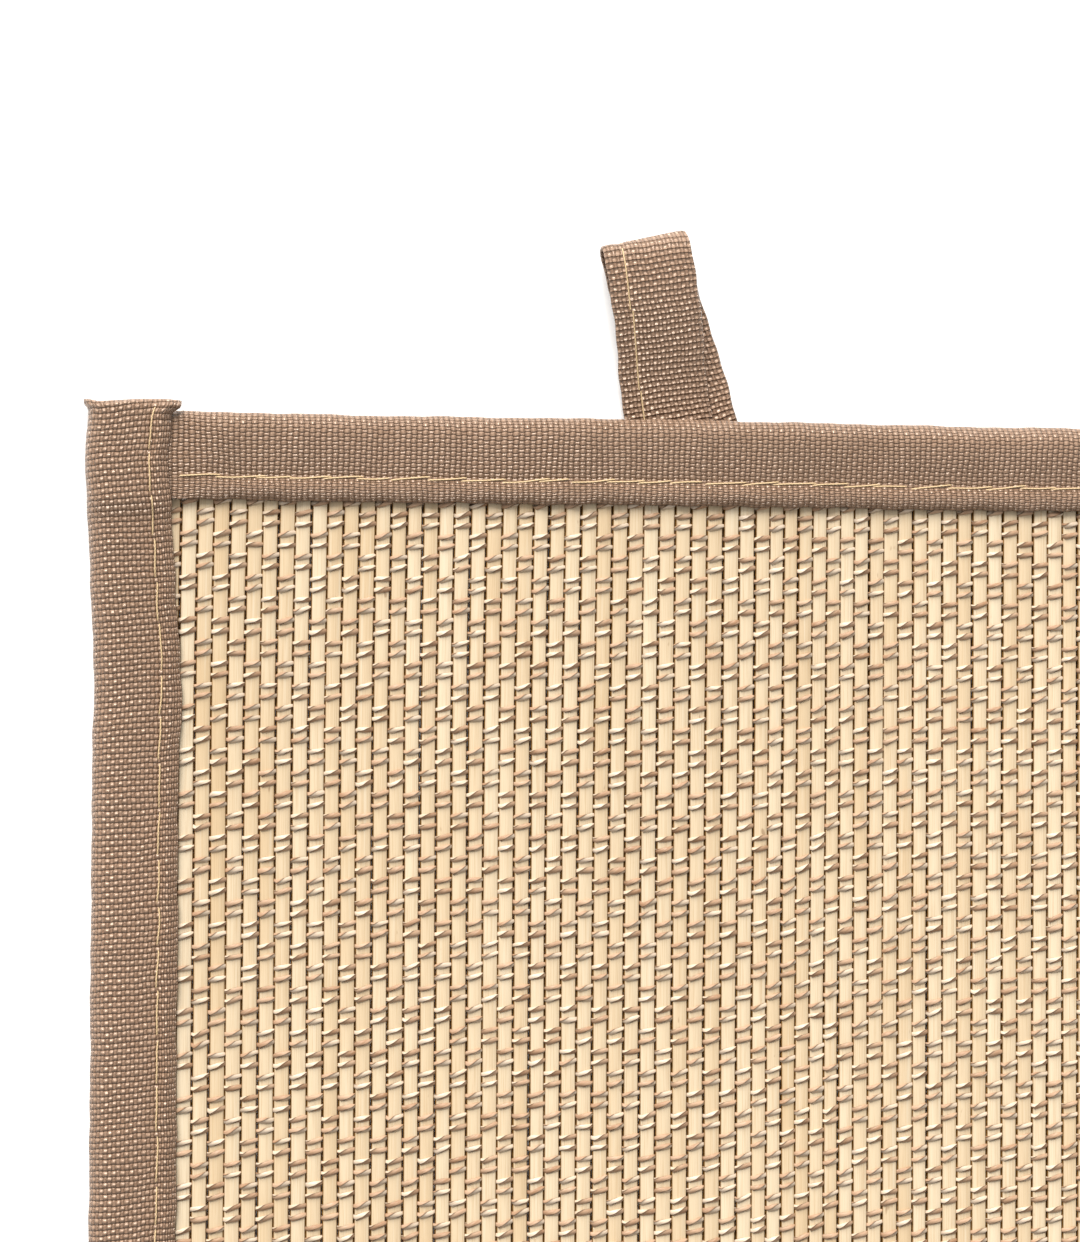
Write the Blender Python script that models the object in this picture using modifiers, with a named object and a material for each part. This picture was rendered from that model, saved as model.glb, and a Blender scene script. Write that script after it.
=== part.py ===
"""Bamboo bath mat: slats tied by pairs of yarns, cloth tape folded over its four edges, and a hanging loop.

Units are metres, +Z is up. The slats run along Y, and the mat lies flat with its top edge, the one with
the loop, towards +Y. The shapes are worked out about the mat's own centre, and each object is then moved
by CENTRE, so that the origin is under the middle of the whole outline, loop included.
"""

import math

import bmesh
import bpy
import numpy as np

# Outline of the mat over its tapes
MAT_WIDTH = 0.600
MAT_LENGTH = 0.400
HALF_WIDTH = MAT_WIDTH / 2
HALF_LENGTH = MAT_LENGTH / 2

# Woven panel
SLAT_PITCH = 0.0040
SLAT_WIDTH = 0.0031
SLAT_COUNT = 148
PANEL_THICKNESS = 0.0022
GROOVE_DEPTH = 0.0006
SLAT_END_INSET = 0.0034

# Cloth, and the gap kept between neighbouring pieces
CLOTH = 0.0010
GAP = 0.00035

# Tapes folded over the edges
TAPE_WIDTH = 0.0216
TAPE_BACK_WIDTH = 0.0221
STITCH_INSET = 0.0157
SIDE_TAPE_WIDTH = 0.0209
SIDE_TAPE_BACK_WIDTH = 0.0214
SIDE_STITCH_INSET = 0.0160
END_TAPE_INSET = 0.0045
SIDE_TAPE_OVERHANG = 0.0024
END_DROOP = 0.0006

# A tape's outer face in section. Insets are distances in from the fold's outer line
CREST = 0.0008
CROWN_NEAR, CROWN_FAR = 0.0038, 0.0075
SHOULDER_INSET, SHOULDER_DROP = 0.0012, 0.0006
UPRIGHT_SHARE = 0.35
FOOT_INSET, FOOT_RISE = 0.0010, 0.0008
BASE_INSET = 0.0028
VALLEY, VALLEY_FOLD_SIDE, VALLEY_FLANGE_SIDE = 0.0001, 0.0015, 0.0012

# Lengths over which the crest is pressed flat, and over which a side tape steps up onto an end tape,
# and how many spans an end tape has between its corners
CREST_FADE = 0.006
STEP = 0.0029
END_TAPE_SPANS = 8

# Heights above the floor, where one layer of tape lies under the panel
PANEL_FLOOR = CLOTH + GAP
PANEL_MIDDLE = PANEL_FLOOR + PANEL_THICKNESS / 2
TAPE_TOP = PANEL_FLOOR + PANEL_THICKNESS + GAP + CLOTH + VALLEY
LAYER = CLOTH + GAP

# The slats rise towards an end where cloth lies under it: the side tapes at the corners, the loop's legs
RAMP = 0.150
CORNER_RISE = 0.0016
CORNER_SPREAD = 0.080
LOOP_RISE = 0.0031
LOOP_HALF_FLAT = 0.0180
LOOP_SPREAD = 0.064

# Hanging loop: one strap, folded back on itself, its legs under the top tape
STRAP_WIDTH = 0.0224
LOOP_X = -HALF_WIDTH + 0.1433
LOOP_REACH = 0.0450
LOOP_LEAN = math.radians(9.3)
LOOP_BACK_LEAN = math.radians(17.0)
LOOP_TIP_LEAN = (LOOP_LEAN + LOOP_BACK_LEAN) / 2
LOOP_BACK_SHIFT = LOOP_REACH * (math.tan(LOOP_BACK_LEAN) - math.tan(LOOP_LEAN))
LOOP_TUCK = 0.0172
# Rows: leg, distance out from the mat's top edge, height of the strap's middle above the floor
STRAP_ROUTE = (
    ("front", -LOOP_TUCK, LAYER + CLOTH / 2),
    ("front", 0.0010, LAYER + CLOTH / 2),
    ("front", 0.0090, 0.0028),
    ("front", 0.0180, 0.0048),
    ("front", 0.0280, 0.0070),
    ("front", 0.0360, 0.0079),
    ("front", 0.0410, 0.0076),
    ("front", 0.0440, 0.0062),
    ("tip", LOOP_REACH, 0.0043),
    ("back", 0.0440, 0.0023),
    ("back", 0.0415, 0.0010),
    ("back", 0.0370, CLOTH / 2),
    ("back", 0.0200, CLOTH / 2),
    ("back", -LOOP_TUCK, CLOTH / 2),
)

# How far a side tape leans outward near its end. Rows: distance from the end tape's edge, outward
FLARE = (
    (0.000, 0.0016),
    (0.012, 0.0022),
    (0.027, 0.0014),
    (0.042, 0.0007),
    (0.056, 0.0000),
    (0.070, -0.0004),
    (0.088, 0.0000),
)
FLARE_AT_INNER_EDGE = 1.45
FLARE_LOOSE, FLARE_TIGHT = 1.0, 0.5

# The origin is under the middle of the outline, the loop and the side tapes' ends included
LOOP_CORNER = LOOP_REACH + CLOTH / 2 + STRAP_WIDTH / 2 * math.sin(LOOP_TIP_LEAN)
CENTRE = (0.0, -(LOOP_CORNER - SIDE_TAPE_OVERHANG) / 2, 0.0)

BAMBOO, BAMBOO_ROUGHNESS = (0.84, 0.68, 0.46), 0.55
TAUPE, CLOTH_ROUGHNESS = (0.34, 0.22, 0.15), 0.8


def material(name, colour, roughness):
    """A plain Principled material."""
    result = bpy.data.materials.new(name)
    result.use_nodes = True
    shader = result.node_tree.nodes["Principled BSDF"]
    shader.inputs["Base Color"].default_value = (*colour, 1.0)
    shader.inputs["Roughness"].default_value = roughness
    shader.inputs["Metallic"].default_value = 0.0
    return result


def falling(value, full, gone):
    """1 up to full, falling evenly to 0 at gone."""
    return min(max((gone - value) / (gone - full), 0.0), 1.0)


def rise(x, y):
    """How far the panel and the end tapes stand above their flat level at this place."""
    ramp = max((abs(y) - HALF_LENGTH + RAMP) / RAMP, 0.0)
    corner = CORNER_RISE * falling(HALF_WIDTH - abs(x), SIDE_TAPE_BACK_WIDTH + CLOTH, CORNER_SPREAD)
    loop = 0.0
    if y > 0:
        loop = LOOP_RISE * falling(abs(x - LOOP_X - LOOP_BACK_SHIFT / 2), LOOP_HALF_FLAT, LOOP_SPREAD)
    return ramp * (corner + loop)


def new_object(name, bm, finish, collection):
    """Links a mesh as an object at the mat's place, its faces pointing out."""
    bmesh.ops.recalc_face_normals(bm, faces=bm.faces)
    mesh = bpy.data.meshes.new(name)
    bm.to_mesh(mesh)
    bm.free()
    mesh.materials.append(finish)
    result = bpy.data.objects.new(name, mesh)
    result.location = CENTRE
    collection.objects.link(result)
    return result


def sheet(name, rows, finish, collection):
    """An open surface through rows of points, thickened inward to the cloth's thickness."""
    bm = bmesh.new()
    grid = [[bm.verts.new(point) for point in row] for row in rows]
    for low, high in zip(grid, grid[1:]):
        for a, b, c, d in zip(low, low[1:], high[1:], high):
            bm.faces.new((a, b, c, d))
    result = new_object(name, bm, finish, collection)
    thicken = result.modifiers.new("Cloth", "SOLIDIFY")
    thicken.thickness = CLOTH
    thicken.offset = -1.0
    thicken.use_even_offset = True
    result.data.shade_smooth()
    return result


def panel_profile():
    """Points across the slats, as pairs of x and half thickness: flat slats with a groove between each two."""
    points = []
    first = -(SLAT_COUNT - 1) / 2 * SLAT_PITCH
    for index in range(SLAT_COUNT):
        middle = first + index * SLAT_PITCH
        points.append((middle - SLAT_WIDTH / 2, PANEL_THICKNESS / 2))
        points.append((middle + SLAT_WIDTH / 2, PANEL_THICKNESS / 2))
        if index < SLAT_COUNT - 1:
            points.append((middle + SLAT_PITCH / 2, PANEL_THICKNESS / 2 - GROOVE_DEPTH))
    return points


def make_panel(finish, collection):
    """The woven panel: slats as ribs on both faces, bent where their ends rise."""
    bm = bmesh.new()
    profile = panel_profile()
    slat_end = HALF_LENGTH - SLAT_END_INSET
    bend = HALF_LENGTH - RAMP
    sections = []
    for y in (-slat_end, -bend, bend, slat_end):
        level = [PANEL_MIDDLE + rise(x, y) for x, _ in profile]
        upper = [bm.verts.new((x, y, z + half)) for (x, half), z in zip(profile, level)]
        lower = [bm.verts.new((x, y, z - half)) for (x, half), z in zip(profile, level)]
        sections.append((upper, lower))
    for (upper_a, lower_a), (upper_b, lower_b) in zip(sections, sections[1:]):
        ring_a = upper_a + lower_a[::-1]
        ring_b = upper_b + lower_b[::-1]
        for index, corner in enumerate(ring_a):
            following = (index + 1) % len(ring_a)
            bm.faces.new((corner, ring_a[following], ring_b[following], ring_b[index]))
    for upper, lower in (sections[0], sections[-1]):
        for a, b, c, d in zip(upper, upper[1:], lower[1:], lower):
            bm.faces.new((a, b, c, d))
    return new_object("slat_panel", bm, finish, collection)


def tape_profile(width, back_width, stitch, top, bottom, crest):
    """A tape's outer face in section, as distance in from the fold and height, front flange to back."""
    middle = (top + bottom) / 2
    reach = (top - bottom) / 2
    return (
        (width, top),
        (stitch + VALLEY_FLANGE_SIDE, top + VALLEY),
        (stitch, top),
        (stitch - VALLEY_FOLD_SIDE, top + VALLEY),
        (CROWN_FAR, top + crest),
        (CROWN_NEAR, top + crest),
        (SHOULDER_INSET, top + crest / 2 - SHOULDER_DROP),
        (0.0, middle + reach * UPRIGHT_SHARE),
        (0.0, middle - reach * UPRIGHT_SHARE),
        (FOOT_INSET, bottom + FOOT_RISE),
        (BASE_INSET, bottom),
        (back_width, bottom),
    )


def end_tape_stations():
    """Places along an end tape: its ends, where its rise or its crest changes, and a few between."""
    end = HALF_WIDTH - END_TAPE_INSET
    covered = HALF_WIDTH - SIDE_TAPE_BACK_WIDTH - CLOTH
    free = covered - CREST_FADE
    level = HALF_WIDTH - CORNER_SPREAD
    loop = LOOP_X + LOOP_BACK_SHIFT / 2
    places = {-end, -covered, -free, -level, level, free, covered, end}
    places.update(loop + side * reach for side in (-1, 1) for reach in (LOOP_HALF_FLAT, LOOP_SPREAD))
    places.update(np.linspace(-level, level, END_TAPE_SPANS + 1))
    return sorted(places)


def make_end_tape(name, side, finish, collection):
    """Top tape with side 1, bottom tape with side -1. Its crest is pressed flat under the side tapes."""
    rows = []
    covered = HALF_WIDTH - SIDE_TAPE_BACK_WIDTH - CLOTH
    for x in end_tape_stations():
        crest = CREST * falling(abs(x), covered - CREST_FADE, covered) + VALLEY
        row = []
        for inset, height in tape_profile(TAPE_WIDTH, TAPE_BACK_WIDTH, STITCH_INSET, TAPE_TOP, 0.0, crest):
            y = side * (HALF_LENGTH - inset)
            row.append((x, y, height + rise(x, y)))
        rows.append(row)
    return sheet(name, rows, finish, collection)


def flare(from_end):
    """How far a side tape leans outward at this distance from the end tape's edge."""
    distances, outward = zip(*FLARE)
    return float(np.interp(from_end, distances, outward))


def side_tape_top(x, y):
    """Height of a side tape's front flange: over the panel, and over the end tape at the corners."""
    over_panel = TAPE_TOP + rise(x, y)
    from_end = HALF_LENGTH - abs(y)
    on_end_tape = falling(from_end, TAPE_BACK_WIDTH + CLOTH, TAPE_BACK_WIDTH + CLOTH + STEP)
    droop = END_DROOP * falling(from_end, -SIDE_TAPE_OVERHANG, 0.0)
    return over_panel + on_end_tape * (LAYER + VALLEY) - droop


def side_tape_stations():
    """Places along a side tape: its open ends, the flare's rows, and where the end tapes end under it."""
    step = TAPE_BACK_WIDTH + CLOTH
    from_end = {-SIDE_TAPE_OVERHANG, 0.0, step, step + STEP, RAMP}
    from_end.update(distance for distance, _ in FLARE[1:])
    places = [HALF_LENGTH - distance for distance in from_end]
    return sorted(places + [-place for place in places])


def make_side_tape(name, side, finish, collection):
    """Left tape with side -1, right tape with side 1, sewn last over the ends of the end tapes."""
    rows = []
    for y in side_tape_stations():
        outward = flare(HALF_LENGTH - abs(y))
        outward *= FLARE_LOOSE if side * y < 0 else FLARE_TIGHT
        top = side_tape_top(HALF_WIDTH - SIDE_TAPE_WIDTH / 2, y)
        profile = tape_profile(SIDE_TAPE_WIDTH, SIDE_TAPE_BACK_WIDTH, SIDE_STITCH_INSET, top, 0.0, CREST)
        row = []
        for inset, height in profile:
            lean = outward * (1 + (FLARE_AT_INNER_EDGE - 1) * inset / SIDE_TAPE_WIDTH)
            row.append((side * (HALF_WIDTH - inset + lean), y, height))
        rows.append(row)
    return sheet(name, rows, finish, collection)


def strap_middle(leg, out):
    """Middle of the strap in plan, and its lean there: the back leg leaves the front one's line at the tip."""
    tip_x = LOOP_X - LOOP_REACH * math.tan(LOOP_LEAN)
    if leg == "front":
        return LOOP_X - out * math.tan(LOOP_LEAN), LOOP_LEAN
    if leg == "back":
        return tip_x + (LOOP_REACH - out) * math.tan(LOOP_BACK_LEAN), LOOP_BACK_LEAN
    return tip_x, LOOP_TIP_LEAN


def make_loop(finish, collection):
    """The hanging loop: a strap folded back on itself, with a teardrop of room inside its tip."""
    rows = []
    for leg, out, height in STRAP_ROUTE:
        x, lean = strap_middle(leg, out)
        across = STRAP_WIDTH / 2 * np.array((math.cos(lean), math.sin(lean), 0.0))
        middle = np.array((x, HALF_LENGTH + out, height))
        rows.append((tuple(middle - across), tuple(middle + across)))
    result = sheet("hanging_loop", rows, finish, collection)
    result.modifiers["Cloth"].offset = 0.0
    return result


def main():
    for old in list(bpy.data.objects):
        bpy.data.objects.remove(old, do_unlink=True)
    mat = bpy.data.collections.new("bamboo_bath_mat")
    bpy.context.scene.collection.children.link(mat)
    make_panel(material("bamboo", BAMBOO, BAMBOO_ROUGHNESS), mat)
    make_end_tape("binding_top", 1, material("top_tape", TAUPE, CLOTH_ROUGHNESS), mat)
    make_end_tape("binding_bottom", -1, material("bottom_tape", TAUPE, CLOTH_ROUGHNESS), mat)
    make_side_tape("binding_left", -1, material("left_tape", TAUPE, CLOTH_ROUGHNESS), mat)
    make_side_tape("binding_right", 1, material("right_tape", TAUPE, CLOTH_ROUGHNESS), mat)
    make_loop(material("strap", TAUPE, CLOTH_ROUGHNESS), mat)


main()
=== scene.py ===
import math

import bpy
import numpy as np
from mathutils import Matrix, Vector


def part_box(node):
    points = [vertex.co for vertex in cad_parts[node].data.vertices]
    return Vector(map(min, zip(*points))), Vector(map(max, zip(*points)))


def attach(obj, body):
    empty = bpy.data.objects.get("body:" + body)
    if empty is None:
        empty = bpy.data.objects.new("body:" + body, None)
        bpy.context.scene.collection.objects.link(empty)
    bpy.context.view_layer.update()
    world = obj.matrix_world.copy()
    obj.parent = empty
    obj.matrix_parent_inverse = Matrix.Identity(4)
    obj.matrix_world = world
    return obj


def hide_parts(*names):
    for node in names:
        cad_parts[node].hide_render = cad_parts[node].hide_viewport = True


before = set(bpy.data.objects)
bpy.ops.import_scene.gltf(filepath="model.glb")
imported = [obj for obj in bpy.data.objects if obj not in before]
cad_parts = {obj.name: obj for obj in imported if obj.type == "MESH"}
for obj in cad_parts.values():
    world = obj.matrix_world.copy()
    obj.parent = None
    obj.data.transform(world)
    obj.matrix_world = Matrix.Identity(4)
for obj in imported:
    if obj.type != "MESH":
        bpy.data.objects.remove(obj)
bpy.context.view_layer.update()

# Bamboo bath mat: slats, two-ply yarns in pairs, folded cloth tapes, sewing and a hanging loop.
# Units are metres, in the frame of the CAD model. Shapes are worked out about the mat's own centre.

MM = 0.001

# Outline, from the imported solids
panel_low = np.array(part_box("slat_panel")[0])
side_low, side_high = (np.array(corner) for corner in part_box("binding_left"))
END_OVERHANG = 2.4 * MM
CENTRE_Y = (side_low[1] + side_high[1]) / 2
HALF_LENGTH = (side_high[1] - side_low[1]) / 2 - END_OVERHANG
HALF_WIDTH = 0.300
CENTRE = Vector((0.0, CENTRE_Y, 0.0))

# Stack of the solids
CLOTH_SOLID = 1.0 * MM
GAP = 0.35 * MM
PANEL_MIDDLE = (panel_low[2] + 2.2 * MM / 2)
LAYER = CLOTH_SOLID + GAP
VALLEY = 0.1 * MM
TAPE_TOP = panel_low[2] + 2.2 * MM + LAYER + VALLEY

# Tapes
TAPE_WIDTH, TAPE_BACK_WIDTH, STITCH_INSET = 21.6 * MM, 22.1 * MM, 15.7 * MM
SIDE_TAPE_WIDTH, SIDE_TAPE_BACK_WIDTH, SIDE_STITCH_INSET = 20.9 * MM, 21.4 * MM, 16.0 * MM
END_TAPE_INSET = 4.5 * MM
CREST = 1.3 * MM
CLOTH = 0.55 * MM

# Rise of the slats' ends over what lies under them
RAMP, CORNER_RISE, CORNER_SPREAD = 150 * MM, 1.6 * MM, 80 * MM
LOOP_RISE, LOOP_HALF_FLAT, LOOP_SPREAD = 3.1 * MM, 18 * MM, 64 * MM

# Loop
STRAP_WIDTH = 22.4 * MM
LOOP_X = -HALF_WIDTH + 143.3 * MM
LOOP_REACH = 45.0 * MM
LOOP_LEAN, LOOP_BACK_LEAN = math.radians(9.3), math.radians(17.0)
LOOP_TIP_LEAN = (LOOP_LEAN + LOOP_BACK_LEAN) / 2
LOOP_BACK_SHIFT = LOOP_REACH * (math.tan(LOOP_BACK_LEAN) - math.tan(LOOP_LEAN))
# Rows: leg, distance out from the mat's top edge, height of the strap's middle, in mm
STRAP_ROUTE = (
    ("front", -17.2, 1.85),
    ("front", 1.0, 1.85),
    ("front", 9.0, 2.8),
    ("front", 18.0, 4.8),
    ("front", 28.0, 7.0),
    ("front", 36.0, 7.9),
    ("front", 41.0, 7.6),
    ("front", 44.0, 6.2),
    ("tip", 45.0, 4.3),
    ("back", 44.0, 2.3),
    ("back", 41.5, 1.0),
    ("back", 37.0, 0.5),
    ("back", 20.0, 0.5),
    ("back", -17.2, 0.5),
)

# Side tapes' lean near an end. Rows: distance from the end tape's edge, outward, in mm
FLARE = ((-3, 1.5), (0, 1.6), (12, 2.2), (27, 1.4), (42, 0.7), (56, 0.0), (70, -0.4), (88, 0.0))
FLARE_AT_INNER_EDGE = 1.45
FLARE_LOOSE, FLARE_TIGHT = 1.0, 0.5

# Weave
SLAT_COUNT, SLAT_PITCH, SLAT_SHARE = 148, 4.0 * MM, 0.83
SLAT_THICKNESS = 1.2 * MM
SLAT_END_INSET = 3.4 * MM
SLAT_FOOT = 0.27 * MM
# How the slats crowd. Rows: distance from the left edge, shift to the right, in mm
SLAT_DRIFT = ((0, 0.6), (52, 0.6), (80, 0.35), (108, -0.1), (136, -0.1), (164, 0.8), (192, -1.0),
              (220, -1.6), (300, -1.2), (420, -0.3), (600, 0.0))
YARN_PITCH, FIRST_YARN = 2.655 * MM, 6.0 * MM
YARN_HALF_WIDTH, YARN_HALF_HEIGHT = 0.70 * MM, 0.38 * MM
YARN_SLANT = 0.30 * MM
YARN_TWIST = 8.6 * MM
UNDER_TAPE = 3.0 * MM

# Cloth
CROSS_THREAD_PITCH, LONG_THREAD_PITCH = 1.40 * MM, 1.03 * MM
CLOTH_RELIEF = 1.7 * MM
FLOAT_FLATNESS = 1.7
FLANGE_GATHER = 1.35
SIDE_CLOTH_SKEW = 0.07

# Sewing: how long the stitches are
END_STITCH, SIDE_STITCH, LOOP_STITCH = 9.0 * MM, 11.2 * MM, 20.3 * MM
LOOP_STITCH_START, LOOP_STITCH_COUNT = 5.9 * MM, 6

# Floor and light
FLOOR_SIZE, FLOOR_DROP = 3.0, 0.3 * MM
SUN_STRENGTH, SUN_SPREAD, SUN_DIRECTION = 7.0, math.radians(42), (0.22, -1.0, -0.62)
SURROUND_STRENGTH = 0.70

rng = np.random.default_rng(7)


def falling(value, full, gone):
    """1 up to full, easing to 0 at gone."""
    t = np.clip((gone - value) / (gone - full), 0.0, 1.0)
    return t * t * (3 - 2 * t)


def rise(x, y):
    """How far the panel and the end tapes stand above their flat level."""
    x, y = np.broadcast_arrays(np.asarray(x, float), np.asarray(y, float))
    ramp = np.maximum((np.abs(y) - HALF_LENGTH + RAMP) / RAMP, 0.0)
    corner = CORNER_RISE * falling(HALF_WIDTH - np.abs(x), SIDE_TAPE_BACK_WIDTH + CLOTH_SOLID, CORNER_SPREAD)
    loop = LOOP_RISE * falling(np.abs(x - LOOP_X - LOOP_BACK_SHIFT / 2), LOOP_HALF_FLAT, LOOP_SPREAD)
    return ramp * (corner + np.where(y > 0, loop, 0.0))


def lookup(table, value):
    """A table of mm against mm, read at a value in metres."""
    keys, values = zip(*table)
    return np.interp(np.asarray(value) / MM, keys, values) * MM


def build_mesh(name, verts, quads, uvs, material, smooth=True):
    """A mesh from arrays: vertices, quads, and one UV for each corner of each quad."""
    mesh = bpy.data.meshes.new(name)
    verts = np.asarray(verts, np.float32).reshape(-1, 3)
    quads = np.asarray(quads, np.int32).reshape(-1, 4)
    mesh.vertices.add(len(verts))
    mesh.vertices.foreach_set("co", verts.ravel())
    mesh.loops.add(quads.size)
    mesh.loops.foreach_set("vertex_index", quads.ravel())
    mesh.polygons.add(len(quads))
    mesh.polygons.foreach_set("loop_start", np.arange(0, quads.size, 4, dtype=np.int32))
    mesh.polygons.foreach_set("use_smooth", np.full(len(quads), smooth))
    mesh.update(calc_edges=True)
    layer = mesh.uv_layers.new(name="UVMap")
    layer.data.foreach_set("uv", np.asarray(uvs, np.float32).ravel())
    mesh.materials.append(material)
    obj = bpy.data.objects.new(name, mesh)
    obj.location = CENTRE
    bpy.context.scene.collection.objects.link(obj)
    return obj


def grid_quads(rows, columns, start=0):
    """Quads of a grid of rows by columns of vertices."""
    index = start + np.arange(rows * columns).reshape(rows, columns)
    return np.stack([index[:-1, :-1], index[:-1, 1:], index[1:, 1:], index[1:, :-1]], -1).reshape(-1, 4)


def tube_quads(rings, sides, start=0):
    """Quads of a tube of rings, its section closed."""
    index = start + np.arange(rings * sides).reshape(rings, sides)
    after = np.roll(index, -1, axis=1)
    return np.stack([index[:-1], index[1:], after[1:], after[:-1]], -1).reshape(-1, 4)


# Materials


class Nodes:
    """A material's nodes, with short calls for the maths between them."""

    def __init__(self, name):
        self.material = bpy.data.materials.new(name)
        self.material.use_nodes = True
        self.tree = self.material.node_tree
        self.shader = self.tree.nodes["Principled BSDF"]

    def put(self, socket, value):
        if isinstance(value, bpy.types.NodeSocket):
            self.tree.links.new(value, socket)
        else:
            socket.default_value = value

    def math(self, operation, a, b=0.0, c=0.0):
        node = self.tree.nodes.new("ShaderNodeMath")
        node.operation = operation
        for socket, value in zip(node.inputs, (a, b, c)):
            self.put(socket, value)
        return node.outputs[0]

    def uv(self):
        node = self.tree.nodes.new("ShaderNodeUVMap")
        node.uv_map = "UVMap"
        parts = self.tree.nodes.new("ShaderNodeSeparateXYZ")
        self.tree.links.new(node.outputs[0], parts.inputs[0])
        return parts.outputs[0], parts.outputs[1]

    def vector(self, x, y, z=0.0):
        node = self.tree.nodes.new("ShaderNodeCombineXYZ")
        for socket, value in zip(node.inputs, (x, y, z)):
            self.put(socket, value)
        return node.outputs[0]

    def noise(self, vector, scale, detail=2.0, roughness=0.5):
        node = self.tree.nodes.new("ShaderNodeTexNoise")
        self.put(node.inputs["Vector"], vector)
        node.inputs["Scale"].default_value = scale
        node.inputs["Detail"].default_value = detail
        node.inputs["Roughness"].default_value = roughness
        return node.outputs[0]

    def random(self, value):
        node = self.tree.nodes.new("ShaderNodeTexWhiteNoise")
        node.noise_dimensions = "1D"
        self.put(node.inputs["W"], value)
        return node.outputs["Value"]

    def span(self, value, low, high, to_low=0.0, to_high=1.0):
        node = self.tree.nodes.new("ShaderNodeMapRange")
        for socket, number in zip(node.inputs, (value, low, high, to_low, to_high)):
            self.put(socket, number)
        return node.outputs[0]

    def mix(self, factor, a, b):
        node = self.tree.nodes.new("ShaderNodeMix")
        node.data_type = "RGBA"
        self.put(node.inputs[0], factor)
        for socket, value in zip((node.inputs[6], node.inputs[7]), (a, b)):
            self.put(socket, value if isinstance(value, bpy.types.NodeSocket) else (*value, 1.0))
        return node.outputs[2]

    def bump(self, height, distance, strength=1.0):
        node = self.tree.nodes.new("ShaderNodeBump")
        node.inputs["Strength"].default_value = strength
        node.inputs["Distance"].default_value = distance
        self.put(node.inputs["Height"], height)
        self.put(self.shader.inputs["Normal"], node.outputs[0])


def bamboo_material():
    """Pale split bamboo: fine fibres along each slat, each slat its own tone, sides painted a mottled dark
    brown as the shade in the gaps between slats.
    """
    n = Nodes("bamboo_slats")
    across, along = n.uv()
    slat = n.math("FLOOR", across)
    tone = n.random(slat)
    other = n.random(n.math("ADD", slat, 500.5))
    seed = n.math("MULTIPLY", tone, 40.0)
    fibre = n.noise(n.vector(n.math("MULTIPLY", across, 16.0), n.math("MULTIPLY", along, 60.0), seed),
                    1.0, 4.0, 0.6)
    streak = n.noise(n.vector(n.math("MULTIPLY", across, 6.0), n.math("MULTIPLY", along, 22.0), seed),
                     1.0, 2.0)
    patch = n.noise(n.vector(n.math("MULTIPLY", tone, 90.0), n.math("MULTIPLY", along, 16.0), other),
                    1.0, 2.0)
    fleck = n.noise(n.vector(n.math("MULTIPLY", across, 2.2), n.math("MULTIPLY", along, 170.0), seed),
                    1.0, 2.0)
    golden = n.math("MULTIPLY", n.span(patch, 0.40, 0.68), n.span(other, 0.2, 1.0, 0.15, 1.0))
    base = n.mix(tone, (0.590, 0.485, 0.340), (0.525, 0.405, 0.260))
    base = n.mix(n.math("MULTIPLY", golden, 0.6), base, (0.46, 0.310, 0.155))
    base = n.mix(n.span(fibre, 0.46, 0.72, 0.0, 0.60), base, (0.40, 0.268, 0.140))
    base = n.mix(n.span(streak, 0.58, 0.74, 0.0, 0.55), base, (0.58, 0.495, 0.365))
    base = n.mix(n.span(fleck, 0.74, 0.80, 0.0, 0.55), base, (0.20, 0.105, 0.045))
    from_middle = n.math("ABSOLUTE", n.math("SUBTRACT", n.math("FRACT", across), 0.5))
    rough = n.noise(n.vector(n.math("MULTIPLY", along, 900.0), slat), 1.0, 2.0)
    # Painted shade: the slat sides are coloured a mottled dark brown to stand for the shade deep in the gaps
    # between slats.
    side = n.mix(n.span(rough, 0.35, 0.65), (0.120, 0.052, 0.008), (0.250, 0.128, 0.032))
    base = n.mix(n.span(from_middle, 0.385, 0.435), base, side)
    n.put(n.shader.inputs["Base Color"], base)
    n.put(n.shader.inputs["Roughness"], n.span(fibre, 0.3, 0.7, 0.42, 0.62))
    n.put(n.shader.inputs["Specular IOR Level"], n.span(from_middle, 0.385, 0.435, 0.35, 0.03))
    n.bump(n.math("ADD", fibre, n.math("MULTIPLY", streak, 0.6)), 0.07 * MM)
    return n.material


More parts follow.
